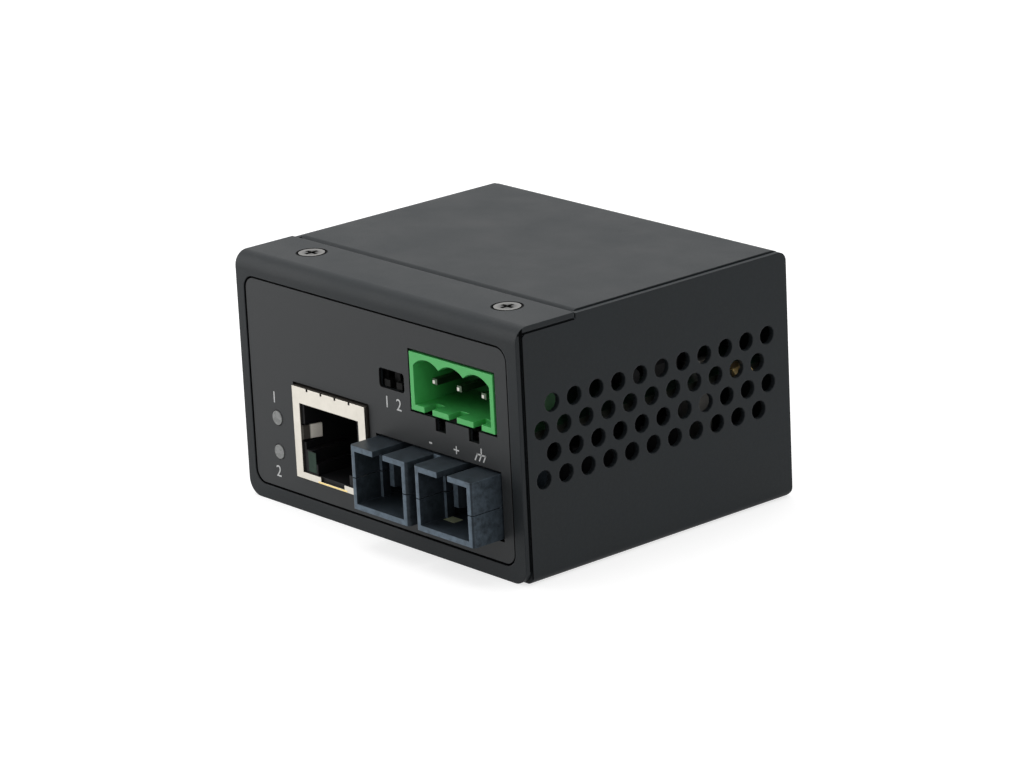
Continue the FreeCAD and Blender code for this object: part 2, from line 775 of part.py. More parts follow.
# ---- duplex optical receptacle ---------------------------------------------------------------
def receptacle():
    """Both ports in one block, before it is parted into halves; it stands on a foot behind the face."""
    tools = []
    body = box(optic_x - optic_half, optic_x + optic_half, front, optic_end, optic_bottom, optic_top)
    foot = box(optic_x - optic_half, optic_x + optic_half, board_front, optic_end, main_top,
               optic_bottom)
    noses = []
    for x in optic_ports:
        nose = block(x, (optic_front + front) / 2 + TINY, optic_bottom, optic_port_width,
                     optic_nose + 2 * TINY, optic_height)
        noses.append(rounded(nose, optic_edge, Z, lambda p: p.y < front - optic_nose / 2))
        tools.append(block(x, (optic_front + optic_cavity_back) / 2, optic_bottom + optic_lid,
                           optic_port_width - 2 * optic_side, optic_cavity_back - optic_front + TINY,
                           optic_height - 2 * optic_lid))
        tools.append(box(x - optic_key / 2, x + optic_key / 2, optic_front - TINY,
                         front + optic_key_run, optic_middle, optic_top + sheet))
        tools.append(flat_sided(V(x, optic_cavity_back - TINY, optic_middle), Y,
                                core_barrel + 2 * core_gap, optic_cavity_end + 2 * TINY))
    return body.fuse([foot] + noses).removeSplitter().cut(tools)


def guide_ribs(low, high):
    """Upright ribs on the side walls of both ports, between two heights."""
    ribs = []
    for x in optic_ports:
        for side in (1, -1):
            wall = x + side * (optic_port_width / 2 - optic_side)
            edge = wall - side * rib_width
            ribs.append(box(min(wall, edge), max(wall, edge), front - rib_depth / 2,
                            front + rib_depth / 2, low, high))
    return ribs


def optic_upper_half():
    """Upper half shell of the receptacle, with the key slots."""
    upper = box(-half, half, optic_front - sheet, optic_end + sheet, optic_middle, case_height)
    ribs = guide_ribs(optic_middle, optic_top - optic_lid)
    return receptacle().common(upper).fuse(ribs).removeSplitter()


def optic_lower_half():
    """Lower half shell; at the nose it leaves an open line under the upper half."""
    low = optic_middle - optic_line
    nose = box(-half, half, optic_front - sheet, front, 0, low)
    body = box(-half, half, front, optic_end + sheet, 0, optic_middle)
    half_shell = receptacle().common(nose.fuse(body))
    return half_shell.fuse(guide_ribs(optic_bottom + optic_lid, low)).removeSplitter()


def optic_core(x):
    """Moulded core of one port: base, ferrule barrel and two hooked latch arms."""
    base_y = optic_cavity_back - core_base
    base = block(x, base_y + core_base / 2, optic_bottom + optic_lid, optic_port_width - 2 * optic_side,
                 core_base, optic_height - 2 * optic_lid)
    base = base.cut(flat_sided(V(x, base_y, optic_middle), Y, sleeve_outer, core_base, shown_flats))
    barrel = tube(V(x, base_y, optic_middle), -Y, core_barrel, sleeve_outer, core_barrel_length,
                  shown_flats)
    arms = []
    for side in (1, -1):
        inner = x + side * core_arm_spacing / 2
        outer = inner + side * core_arm
        tip = inner - side * core_hook
        low = optic_middle - core_arm_height / 2
        arm_end = base_y - core_arm_length
        outline = [V(outer, base_y, low), V(outer, arm_end, low), V(inner, arm_end, low),
                   V(tip, arm_end + core_arm, low), V(inner, arm_end + 2 * core_arm, low),
                   V(inner, base_y, low)]
        arms.append(prism(outline, Z * core_arm_height))
    return base.fuse([barrel] + arms).removeSplitter()


def optic_sleeves():
    """Two ceramic alignment sleeves in the barrels."""
    return Part.makeCompound([tube(V(x, optic_cavity_back, optic_middle), -Y, sleeve_outer,
                                   sleeve_bore, sleeve_length, shown_flats) for x in optic_ports])


def optic_barrels():
    """Laser and receiver barrels between the sleeves and the module."""
    return Part.makeCompound([flat_sided(V(x, optic_cavity_back, optic_middle), Y, core_barrel,
                                         optic_cavity_end) for x in optic_ports])


def optic_module():
    """Moulded body of the optical transceiver with ribs on its roof."""
    body = box(optic_x - module_width / 2, optic_x + module_width / 2, optic_end, module_end,
               main_top, main_top + module_height)
    body = rounded(body, module_corner, Z, lambda p: p.y > optic_end + TINY)
    ribs = []
    for i in range(module_ribs):
        y = optic_end + (i + 1) * module_depth / (module_ribs + 1)
        ribs.append(block(optic_x, y, main_top + module_height, module_width - 4 * module_rib,
                          2 * module_rib, module_rib))
    pins = [block(x, y, main_top - sheet, module_pin, module_pin, 2 * sheet)
            for x, y in module_pin_places()]
    return body.fuse(ribs).removeSplitter().cut(pins)


def module_pin_places():
    """Centres of the transceiver's single row of pins."""
    y = module_end - module_pin_pitch / 2
    return [(optic_x + (i - (module_pins - 1) / 2) * module_pin_pitch, y) for i in range(module_pins)]


def module_pin_row():
    """Pins from the transceiver through the main board."""
    length = sheet + board + pin_tail
    return Part.makeCompound([block(x, y, main_top + sheet - length, module_pin, module_pin, length)
                              for x, y in module_pin_places()])


# ---- terminal header -------------------------------------------------------------------------
def header_tail_y():
    """Depth at which the header's pins turn down into the board."""
    return header_end_y - header_back / 2


def terminal_header():
    """Three-pole shroud: scalloped roof, notched floor and a solid back."""
    body = box(header_x - header_half, header_x + header_half, header_front, header_end_y,
               power_top, header_top)
    inner_back = header_end_y - header_back
    floor = power_top + header_floor
    inner_half = header_half - header_side
    crown = header_top - header_crown
    tools = []
    scallops = []
    for x in header_pins_x:
        scallops.append(rod(V(x, header_front - TINY, crown - header_scallop), Y, 2 * header_scallop,
                            inner_back - header_front))
        tools.append(box(x - header_notch / 2, x + header_notch / 2, header_front - TINY,
                         header_front + header_back, power_top - TINY, floor + TINY))
        tools.append(block(x, header_tail_y(), power_top - TINY, header_pin, header_pin,
                           header_pin_z + header_pin / 2 + TINY))
        tools.append(box(x - header_pin / 2, x + header_pin / 2, inner_back - TINY, header_tail_y(),
                         power_top + header_pin_z - header_pin / 2,
                         power_top + header_pin_z + header_pin / 2))
    room = box(header_x - inner_half, header_x + inner_half, header_front - TINY, inner_back,
               floor, crown)
    lower = box(header_x - inner_half, header_x + inner_half, header_front - TINY, inner_back,
                floor, crown - header_scallop)
    arches = scallops[0].fuse(scallops[1:]).common(room)
    return body.cut([lower.fuse(arches).removeSplitter()] + tools)


def terminal_pins():
    """Square pins, bent down at the back into the power board."""
    parts = []
    for x in header_pins_x:
        y0 = header_front + header_pin_setback
        z0 = power_top + header_pin_z - header_pin / 2
        y1 = header_tail_y() + header_pin / 2
        reach = box(x - header_pin / 2, x + header_pin / 2, y0, y1, z0, z0 + header_pin)
        reach = bevelled(reach, header_pin_bevel, lambda e: e.CenterOfMass.y < y0 + TINY)
        tail = block(x, header_tail_y(), power_bottom - pin_tail, header_pin, header_pin,
                     z0 + header_pin - power_bottom + pin_tail)
        parts.append(reach.fuse(tail).removeSplitter())
    return Part.makeCompound(parts)


# ---- two-way switch --------------------------------------------------------------------------
def lever_room(x):
    """Space in the switch for one lever, over its whole travel."""
    clear = lever_gap
    low = lever_z - (lever_height + lever_travel) / 2 - clear
    high = lever_z + (lever_height + lever_travel) / 2 + clear
    neck = box(x - lever_width / 2 - clear, x + lever_width / 2 + clear, switch_front - TINY,
               switch_front + lever_root, low, high)
    wide = lever_width / 2 + lever_foot / 2 + clear
    foot = box(x - wide, x + wide, switch_front + lever_root / 2 - clear,
               switch_front + lever_root + clear, low, high)
    return neck.fuse(foot)


def switch_body():
    """Switch housing with a slot for each lever."""
    body = box(switch_x - switch_width / 2, switch_x + switch_width / 2, switch_front,
               switch_front + switch_depth, power_top, power_top + switch_height)
    return body.cut([lever_room(x) for x in levers_x])


def switch_lever(x):
    """Lever at the lower end of its slot, with a wider foot that keeps it in."""
    z0 = lever_z - (lever_height + lever_travel) / 2
    neck = box(x - lever_width / 2, x + lever_width / 2, switch_front - lever_reach,
               switch_front + lever_root, z0, z0 + lever_height)
    wide = lever_width / 2 + lever_foot / 2
    foot = box(x - wide, x + wide, switch_front + lever_root / 2, switch_front + lever_root,
               z0, z0 + lever_height)
    return neck.fuse(foot).removeSplitter()


# ---- indicators ------------------------------------------------------------------------------
def lens(z):
    """Round lens with a collar that seats against the holder."""
    holder_front = face_back + lens_collar
    lens_front = front + overlay_recess - overlay_film - lens_proud
    body = flat_sided(V(lens_x, lens_front, z), Y, lens_diameter, face_back - lens_front, shown_flats)
    collar = flat_sided(V(lens_x, face_back, z), Y, lens_rim, lens_collar)
    tail = flat_sided(V(lens_x, holder_front, z), Y, lens_diameter, lens_tail)
    return body.fuse([collar, tail]).removeSplitter()


def indicator_holder():
    """Moulded holder on the main board that carries both lenses."""
    y0 = face_back + lens_collar
    top = lens_heights[-1] + holder_roof
    body = box(lens_x - holder_width / 2, lens_x + holder_width / 2, board_front, y0 + holder_depth,
               main_top, top)
    body = body.fuse(box(lens_x - holder_width / 2, lens_x + holder_width / 2, y0, board_front,
                         main_top, top)).removeSplitter()
    return body.cut([lens(z) for z in lens_heights])


# ---- parts on the boards ---------------------------------------------------------------------
def converter_chip():
    """Flat chip with legs on all four sides."""
    body = block(chip_x, chip_y, main_top, chip_side, chip_side, chip_height)
    legs = []
    reach = chip_side + 2 * chip_leg_reach
    for i in range(chip_legs):
        shift = (i - (chip_legs - 1) / 2) * chip_leg_pitch
        legs.append(block(chip_x + shift, chip_y, main_top, chip_leg_width, reach, chip_leg_height))
        legs.append(block(chip_x, chip_y + shift, main_top, reach, chip_leg_width, chip_leg_height))
    return body.fuse(legs).removeSplitter()


def crystal():
    """Metal can with round ends, on the main board."""
    body = block(crystal_x, crystal_y, main_top, crystal_length, crystal_width, crystal_height)
    return rounded(body, crystal_width / 2 - TINY, Z)


def line_transformer():
    """Moulded line transformer behind the copper socket."""
    body = block(magnetics_x, magnetics_y, main_top, magnetics_width, magnetics_depth, magnetics_height)
    return rounded(body, magnetics_bevel, X, lambda p: p.z > main_top + TINY)


def electrolytic(x, y, z, diameter, height, foot_height):
    """Round capacitor can on a bevelled foot."""
    foot = bevelled(block(x, y, z, diameter, diameter, foot_height), can_bevel, upright)
    can = flat_sided(V(x, y, z + foot_height), Z, diameter - can_bevel, height - foot_height)
    return foot.fuse(can).removeSplitter()


def main_capacitor():
    """Capacitor on the main board."""
    return electrolytic(main_can_x, main_can_y, main_top, main_can_diameter, main_can_height,
                        main_can_foot)


def power_capacitors():
    """Row of capacitors on the power board."""
    return Part.makeCompound([electrolytic(can_x + i * can_pitch, can_y, power_top, can_diameter,
                                           can_height, can_foot) for i in range(can_count)])


def power_inductor():
    """Square moulded inductor."""
    return bevelled(block(coil_x, coil_y, power_top, coil_side, coil_side, coil_height),
                    coil_corner, upright)


def power_converter():
    """Isolating power converter block."""
    body = block(converter_x, converter_y, power_top, converter_width, converter_depth,
                 converter_height)
    return bevelled(body, can_bevel, upright)


def fuse():
    """Round fuse lying on the power board."""
    z = power_top + fuse_diameter / 2
    return flat_sided(V(fuse_x - fuse_length / 2, fuse_y, z), X, fuse_diameter, fuse_length)


def rectifier():
    """Rectifier block beside the fuse."""
    body = block(rectifier_x, rectifier_y, power_top, rectifier_width, rectifier_depth,
                 rectifier_height)
    top = power_top + rectifier_height
    return bevelled(body, can_bevel, lambda e: e.CenterOfMass.z > top - TINY)


def link_places():
    """Centres of the pins that join the two boards."""
    return [(link_x + (i - (link_pins - 1) / 2) * link_pitch, link_y) for i in range(link_pins)]


def link_header():
    """Pin header under the power board, with its moulded bar."""
    bar = block(link_x, link_y, power_bottom - link_pitch, link_pins * link_pitch, link_pitch, link_pitch)
    low = main_top + link_bottom
    pins = [block(x, y, low, link_pin, link_pin, power_bottom - low) for x, y in link_places()]
    return bar.fuse(pins).removeSplitter()


def link_receptacle():
    """Socket strip on the main board that takes the link pins."""
    top = power_bottom - link_pitch
    body = block(link_x, link_y, main_top, link_pins * link_pitch, link_pitch, top - main_top)
    room = link_pin + 2 * lap_gap
    low = main_top + link_bottom - lap_gap
    return body.cut([block(x, y, low, room, room, top) for x, y in link_places()])


# ---- all nodes -------------------------------------------------------------------------------
def nodes():
    """Every sub-part, by its node's name."""
    parts = {
        "chassis": chassis(),
        "top_cover": top_cover(),
        "front_cover": front_cover(),
        "front_overlay": front_overlay(),
        "cover_brackets": cover_brackets(),
        "cover_screws": cover_screws(),
        "rear_screws": rear_screws(),
        "bottom_screws": bottom_screws(),
        "clip_nuts": clip_nuts(),
        "lower_posts": lower_posts(),
        "main_board": main_board(),
        "upper_posts": upper_posts(),
        "power_board": power_board(),
        "board_screws": board_screws(),
        "earth_clip": earth_clip(),
        "jack_shield": jack_shield(),
        "jack_insert": jack_insert(),
        "jack_contacts": jack_contacts(),
        "optic_upper_half": optic_upper_half(),
        "optic_lower_half": optic_lower_half(),
        "optic_core_left": optic_core(optic_ports[0]),
        "optic_core_right": optic_core(optic_ports[1]),
        "optic_sleeves": optic_sleeves(),
        "optic_barrels": optic_barrels(),
        "optic_module": optic_module(),
        "module_pin_row": module_pin_row(),
        "terminal_header": terminal_header(),
        "terminal_pins": terminal_pins(),
        "switch_body": switch_body(),
        "lens_lower": lens(lens_heights[0]),
        "lens_upper": lens(lens_heights[1]),
        "indicator_holder": indicator_holder(),
        "converter_chip": converter_chip(),
        "crystal": crystal(),
        "line_transformer": line_transformer(),
        "main_capacitor": main_capacitor(),
        "power_capacitors": power_capacitors(),
        "power_inductor": power_inductor(),
        "power_converter": power_converter(),
        "fuse": fuse(),
        "rectifier": rectifier(),
        "link_header": link_header(),
        "link_receptacle": link_receptacle(),
    }
    for number, x in enumerate(levers_x, start=1):
        parts[f"switch_lever_{number}"] = switch_lever(x)
    return parts


os.makedirs("parts", exist_ok=True)
for name, shape in nodes().items():
    shape.exportStep(f"parts/{name}.step")
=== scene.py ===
import bmesh
import bpy
import json
import math
from mathutils import Matrix, Vector


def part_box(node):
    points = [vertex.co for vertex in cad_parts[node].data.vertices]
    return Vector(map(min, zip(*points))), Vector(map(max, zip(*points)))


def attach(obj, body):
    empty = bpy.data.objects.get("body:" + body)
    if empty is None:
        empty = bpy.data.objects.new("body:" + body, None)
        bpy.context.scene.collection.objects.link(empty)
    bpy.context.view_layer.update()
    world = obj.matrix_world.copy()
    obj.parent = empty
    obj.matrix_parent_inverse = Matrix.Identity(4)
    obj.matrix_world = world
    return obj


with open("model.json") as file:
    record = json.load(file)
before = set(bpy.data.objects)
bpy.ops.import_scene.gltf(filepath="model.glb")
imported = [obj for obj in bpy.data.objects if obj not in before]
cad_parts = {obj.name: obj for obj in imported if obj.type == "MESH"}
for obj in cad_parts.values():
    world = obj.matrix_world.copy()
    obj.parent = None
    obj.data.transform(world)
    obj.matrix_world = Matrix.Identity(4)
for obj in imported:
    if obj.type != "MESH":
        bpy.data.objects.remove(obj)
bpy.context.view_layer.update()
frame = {"nodes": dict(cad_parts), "record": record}

# A fibre media converter in a folded steel case: its finishes, printed marks, light and camera.
# Lengths are in metres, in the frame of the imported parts: X along the face, Y to the back, Z up.

MM = 0.001
FORWARD = (0, -1, 0)         # the way that the face looks
UPWARD = (0, 0, 1)
DOWNWARD = (0, 0, -1)

# ---- camera ----------------------------------------------------------------------------------
VIEW_AZIMUTH = math.radians(49.51)
VIEW_ELEVATION = math.radians(17.30)
VIEW_ROLL = math.radians(-2.82)
VIEW_DISTANCE = 618.87 * MM
VIEW_RIGHT = 0.157 * MM      # the case's middle, right of the view's middle
VIEW_UP = 1.532 * MM         # and above it
SENSOR_WIDTH = 36.0          # in millimetres as Blender takes it, and so is the lens
LENS = 154.23
CLIP_NEAR = 0.05
CLIP_FAR = 50.0

# ---- studio ----------------------------------------------------------------------------------
FLOOR_HALF = 3.0
FLOOR_DROP = 0.05 * MM
FLOOR_TONE = 0.50
FLOOR_GLOW = 0.70            # added to the floor where the camera sees it
ROOM_LEVEL = 0.36            # the room's light on the object

# ---- painted shade that the case's coat puts in its gaps and seams ---------------------------
GROOVE_MIDDLE = 0.27 * MM    # middle of the gap round the film, behind the face
GROOVE_HALF = 0.17 * MM
GROOVE_REACH = 0.36 * MM     # from the film's edge to the gap's outer side
WALL_SKIN = 0.06 * MM        # outermost layer of the side walls, where the seams show
FRONT_SEAM = 0.93 * MM       # seam of front cover and walls, behind the face
FRONT_SEAM_HALF = 0.28 * MM
FLANGE_SEAM = 0.90 * MM      # seam under the flange's ends, below its top
FLANGE_SEAM_HALF = 0.12 * MM
SCREW_HEAD = 1.9 * MM        # radius of the flange screws' heads
SCREW_RING = 2.20 * MM       # outer radius of the ring of painted shade round them

# ---- printed marks ---------------------------------------------------------------------------
INK = 0.012 * MM             # thickness of the ink
MARK_HEIGHT = 2.4 * MM       # type size of the numbers and signs
STROKE = 0.22 * MM           # width of the earth sign's strokes
LENS_MARK_LEFT = 0.5 * MM    # numbers of the indicators, from the lens's middle
LENS_MARK_RISE = 2.9 * MM
LENS_MARK_DROP = 3.1 * MM
LEVER_MARK_DROP = 2.7 * MM   # numbers of the switch, from the lever's middle
PIN_PITCH = 5.08 * MM
MINUS_DROP = 3.9 * MM        # signs of the terminals, from the header's foot and the pin
PLUS_DROP = 4.1 * MM
PLUS_RIGHT = 0.3 * MM
EARTH_DROP = 3.6 * MM
EARTH_RIGHT = 0.4 * MM
EARTH_HALF = 0.85 * MM       # half of the earth sign's bar, its stem, and the drop of its strokes
EARTH_SLANT = 0.45 * MM      # how far the strokes lean

# ---- small visible pieces --------------------------------------------------------------------
PATCH_LEFT = 4.5 * MM          # both sides of the port's patch of painted light, left of the port's middle
PATCH_RIGHT = 2.3 * MM
PATCH_FRONT = 1.7 * MM         # both its ends, in front of the latch core
PATCH_BACK = 0.05 * MM
PATCH_THICKNESS = 0.06 * MM
PATCH_EDGE = 0.02 * MM
SKIN_PROUD = 0.03 * MM       # how far a skin stands out of the face that it lies on
SKIN_SUNK = 0.02 * MM        # and reaches into it
SKIN_EDGE = 0.01 * MM
STRIP_HALF = 3.2 * MM        # half the latch strip's length
STRIP_BOTTOM = 0.06 * MM     # above the shield's foot
STRIP_TOP = 0.27 * MM
KEY_LEFT = 2.2 * MM          # from the insert's left side
KEY_RIGHT = 3.9 * MM
KEY_BOTTOM = 0.9 * MM        # above the insert's foot
KEY_TOP = 3.9 * MM


# ---- shader maths ----------------------------------------------------------------------------
class Wire:
    """A node's output that takes part in written expressions."""

    def __init__(self, graph, socket):
        self.graph = graph
        self.socket = socket

    def maths(self, operation, *operands):
        return self.graph.node("ShaderNodeMath", dict(enumerate(operands)), operation=operation)

    def __add__(self, other):
        return self.maths("ADD", self, other)

    def __sub__(self, other):
        return self.maths("SUBTRACT", self, other)

    def __rsub__(self, other):
        return self.maths("SUBTRACT", other, self)

    def __mul__(self, other):
        return self.maths("MULTIPLY", self, other)

    def __pow__(self, other):
        return self.maths("POWER", self, other)

    def __abs__(self):
        return self.maths("ABSOLUTE", self)

    def larger(self, other):
        return self.maths("MAXIMUM", self, other)

    __radd__ = __add__
    __rmul__ = __mul__


class Graph:
    """The nodes of one material or of the room."""

    def __init__(self, tree):
        self.tree = tree
        tree.nodes.clear()

    def node(self, kind, sockets=None, output=0, **settings):
        """Adds a node: its settings first, then its sockets' values or links."""
        node = self.tree.nodes.new(kind)
        for name, value in settings.items():
            setattr(node, name, value)
        for key, value in (sockets or {}).items():
            if isinstance(value, Wire):
                self.tree.links.new(value.socket, node.inputs[key])
            else:
                node.inputs[key].default_value = value
        return Wire(self, node.outputs[output]) if node.outputs else None

    def spread(self, value, low, high, start=0.3, end=0.7):
        """A value between start and end, spread from low to high."""
        return self.node("ShaderNodeMapRange", {"Value": value, "From Min": start, "From Max": end,
                                                "To Min": low, "To Max": high})

    def within(self, value, limit, fade):
        """Mask that is 1 up to a limit and fades to 0 past it."""
        return self.spread(value, 1, 0, limit, limit + fade)

    def beyond(self, value, limit, fade):
        """Mask that is 0 up to a limit and rises to 1 past it."""
        return self.spread(value, 0, 1, limit, limit + fade)

    def blend(self, factor, first, second):
        """Colour from the first to the second, by a factor."""
        return self.node("ShaderNodeMix", {0: factor, 6: first, 7: second}, output=2,
                         data_type="RGBA")


class Finish(Graph):
    """A finish that is built up in the object's own coordinates."""

    def __init__(self, name):
        self.material = bpy.data.materials.new(name)
        self.material.use_nodes = True
        super().__init__(self.material.node_tree)
        self.place = self.node("ShaderNodeTexCoord", output="Object")

    def noise(self, size, detail=3.0, roughness=0.55):
        """Cloudy pattern from 0 to 1 whose patches are about the given size."""
        return self.node("ShaderNodeTexNoise", {"Vector": self.place, "Scale": 1 / size,
                                                "Detail": detail, "Roughness": roughness})

    def soft_normal(self, radius):
        """Normal that is rounded off along the piece's edges."""
        return self.node("ShaderNodeBevel", {"Radius": radius}, samples=4)

    def along(self, direction):
        """How far a flat looks along a direction: 1 where it looks straight along it."""
        true_normal = self.node("ShaderNodeNewGeometry", output="True Normal")
        return self.node("ShaderNodeVectorMath", {0: true_normal, 1: direction}, output="Value",
                         operation="DOT_PRODUCT")

    def edges(self, normal):
        """Mask that is 1 along the edges, where the soft normal turns away, and 0 on flats."""
        return self.spread(self.along(normal), 1.0, 0.0, 0.80, 0.995)

    def facing(self, direction):
        """Mask that is 1 on flats that look along a direction."""
        return self.spread(self.along(direction), 0, 1, 0.90, 0.97)

    def axis(self, index):
        """The object's own X, Y or Z."""
        return self.node("ShaderNodeSeparateXYZ", {0: self.place}, output=index)

    def from_middle(self, index, centre):
        """Distance from a plane across the object's own X, Y or Z."""
        return abs(self.axis(index) - centre)

    def bump(self, height, depth, strength, normal=None):
        """Bumped normal."""
        sockets = {"Height": height, "Distance": depth, "Strength": strength}
        if normal:
            sockets["Normal"] = normal
        return self.node("ShaderNodeBump", sockets)

    def clouded(self, pattern, tone, dark, pale):
        """A tone that drifts from a darker to a paler shade with a pattern."""
        return self.blend(self.spread(pattern, 0, 1), shade(dark, tone), shade(pale, tone))

    def worn(self, colour, soft, tone, level, amount):
        """A colour that goes to another shade of its tone along the edges: wear, and a painted
        highlight where it goes paler.
        """
        return self.blend(self.edges(soft) * amount, colour, shade(level, tone))

    def surface(self, **sockets):
        """Ends the finish with its principled shader and returns the material."""
        names = {name.replace("_", " "): value for name, value in sockets.items()}
        shader = self.node("ShaderNodeBsdfPrincipled", names)
        self.node("ShaderNodeOutputMaterial", {"Surface": shader})
        return self.material


def shade(level, tone):
    """A tone made lighter or darker, with its alpha."""
    return tuple(level * channel for channel in tone) + (1.0,)


def middle(node):
    """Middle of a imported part's box."""
    low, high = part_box(node)
    return (low + high) / 2


# ---- finishes --------------------------------------------------------------------------------
def screw_distance(look):
    """Distance from the axis of the nearer screw of the front flange, seen from above."""
    screw_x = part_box("cover_screws")[1].x - SCREW_HEAD
    across = look.from_middle(0, 0) - screw_x
    deep = look.axis(1) - middle("cover_screws").y
    return (across ** 2 + deep ** 2) ** 0.5


def dark_gaps(look):
    """Mask of painted shade: in the gap round the film, in the walls' seams and in a ring round each
    flange screw.
    """
    cover_low, cover_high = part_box("front_cover")
    film_low, film_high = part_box("front_overlay")
    film_half = (film_high.x - film_low.x) / 2
    across_film = look.from_middle(0, middle("front_overlay").x)
    groove = (look.within(look.from_middle(1, cover_low.y + GROOVE_MIDDLE), GROOVE_HALF, fade=0.03 * MM)
              * look.within(across_film, film_half + GROOVE_REACH, fade=0.04 * MM)
              * look.within(look.axis(2), film_high.z + GROOVE_REACH, fade=0.04 * MM))
    front_seam = look.within(look.from_middle(1, cover_low.y + FRONT_SEAM), FRONT_SEAM_HALF,
                             fade=0.06 * MM)
    flange_seam = (look.within(look.from_middle(2, cover_high.z - FLANGE_SEAM), FLANGE_SEAM_HALF,
                               fade=0.06 * MM)
                   * look.within(look.axis(1), cover_high.y, fade=0.05 * MM))
    on_wall = look.beyond(look.from_middle(0, 0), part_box("chassis")[1].x - WALL_SKIN, fade=0.03 * MM)
    screw_rings = look.within(screw_distance(look), SCREW_RING, fade=0.12 * MM)
    seams = front_seam.larger(flange_seam) * on_wall
    return groove.larger(seams).larger(screw_rings)


def case_coat():
    """Fine-textured grey-black powder coat, with a painted highlight along its edges and painted shade
    in its gaps.
    """
    look = Finish("case_coat")
    soft = look.soft_normal(0.25 * MM)
    cloud = look.noise(9 * MM, detail=4.0)
    grain = look.noise(0.16 * MM, detail=2.0)
    speck = look.noise(0.5 * MM, detail=2.0)
    gap_shade = dark_gaps(look)
    tone = (0.0140, 0.0172, 0.0194)
    gap_shade_tone = (0.001, 0.001, 0.001)
    colour = look.clouded(cloud, tone, dark=0.86, pale=1.12)
    colour = look.blend(look.spread(speck, 0, 0.25, 0.45, 0.75), colour, shade(1.5, tone))
    # painted highlight along the edges
    colour = look.worn(colour, soft, tone, level=2.1, amount=0.45)
    # painted shade: nearly black in the gaps, and metallic and rougher there so that they reflect
    # nothing
    colour = look.blend(gap_shade * 0.85, colour, shade(1, gap_shade_tone))
    rough = look.spread(cloud, 0.44, 0.53) + look.spread(grain, -0.03, 0.03) + gap_shade * 0.5
    normal = look.bump(grain, depth=0.03 * MM, strength=0.40, normal=soft)
    return look.surface(Base_Color=colour, Roughness=rough, Metallic=gap_shade, Normal=normal,
                        Specular_IOR_Level=0.17)


def overlay_film():
    """Satin polyester film, printed dark grey on its back, with painted shade that makes its cut edge
    nearly black.
    """
    look = Finish("overlay_film")
    soft = look.soft_normal(0.12 * MM)
    cloud = look.noise(14 * MM)
    pebble = look.noise(0.10 * MM, detail=1.0)
    tone = (0.0364, 0.0390, 0.0410)
    edge_shade_tone = (0.004, 0.004, 0.004)
    colour = look.clouded(cloud, tone, dark=0.95, pale=1.05)
    # painted shade on the film's cut edge
    colour = look.blend(look.facing(FORWARD), shade(1, edge_shade_tone), colour)
    rough = look.spread(cloud, 0.40, 0.46)
    normal = look.bump(pebble, depth=0.008 * MM, strength=0.25, normal=soft)
    return look.surface(Base_Color=colour, Roughness=rough, Normal=normal, Specular_IOR_Level=0.18)


def metal(name, tone, rough):
    """Plated or bare metal: cloudy tarnish, fine turning marks and softened edges with a faint painted
    highlight.
    """
    look = Finish(name)
    soft = look.soft_normal(0.08 * MM)
    cloud = look.noise(2.2 * MM, detail=4.0)
    fine = look.noise(0.3 * MM, roughness=0.7)
    colour = look.blend(look.spread(cloud, 0, 0.12), shade(1, tone), shade(0.35, tone))
    colour = look.worn(colour, soft, tone, level=1.08, amount=0.3)
    roughness = look.spread(cloud, rough - 0.05, rough + 0.07) + look.spread(fine, -0.04, 0.05)
    normal = look.bump(fine, depth=0.01 * MM, strength=0.3, normal=soft)
    return look.surface(Base_Color=colour, Roughness=roughness, Normal=normal, Metallic=1.0)


def moulding(name, tone, rough, pebble_depth=0.012 * MM, flow=0.12, specular=0.45, edge=1.5):
    """Moulded plastic: faint flow marks, a fine eroded grain and paler edges, worn and with a painted
    highlight.
    """
    look = Finish(name)
    soft = look.soft_normal(0.10 * MM)
    cloud = look.noise(3.5 * MM)
    pebble = look.noise(0.12 * MM, detail=2.0)
    colour = look.clouded(cloud, tone, dark=1 - flow, pale=1 + flow)
    colour = look.worn(colour, soft, tone, level=edge, amount=0.4)
    roughness = look.spread(pebble, rough - 0.05, rough + 0.05)
    normal = look.bump(pebble, pebble_depth, strength=0.3, normal=soft)
    return look.surface(Base_Color=colour, Roughness=roughness, Normal=normal,
                        Specular_IOR_Level=specular)


def slate_moulding():
    """Glass-filled slate-blue moulding: streaked, with painted shade inside and towards the case's
    face, and a painted highlight on its front and edges.
    """
    look = Finish("slate_moulding")
    soft = look.soft_normal(0.12 * MM)
    streaks = look.noise(1.1 * MM, detail=5.0, roughness=0.68)
    fibres = look.noise(0.12 * MM, detail=2.0)
    low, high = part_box("optic_lower_half")
    half = (high.x - low.x) / 2
    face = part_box("front_cover")[0].y
    depth_shade = look.spread(look.axis(1), 0, 0.55, low.y + 0.5 * MM, face)
    outside = look.beyond(look.from_middle(0, middle("optic_lower_half").x), half - 0.15 * MM,
                          fade=0.10 * MM)
    streaked_front_highlight = look.facing(FORWARD) * look.spread(streaks, 0.55, 1.0, 0.35, 0.65)
    tone = (0.042, 0.055, 0.068)
    colour = look.blend(look.spread(streaks, 0, 1, 0.34, 0.66), shade(0.72, tone), shade(1.95, tone))
    # painted shade, darker towards the case's face
    colour = look.blend(depth_shade, colour, shade(0.50, tone))
    # painted shade on the inner sides
    colour = look.blend((1 - outside) * 0.6, colour, shade(0.30, tone))
    # painted highlight on the front faces, broken up by the streaks
    colour = look.blend(streaked_front_highlight, colour, shade(4.3, tone))
    colour = look.worn(colour, soft, tone, level=3.6, amount=0.5)
    roughness = look.spread(streaks, 0.36, 0.52) + look.spread(fibres, -0.04, 0.04)
    normal = look.bump(fibres, depth=0.015 * MM, strength=0.35, normal=soft)
    return look.surface(Base_Color=colour, Roughness=roughness, Normal=normal,
                        Specular_IOR_Level=0.11)


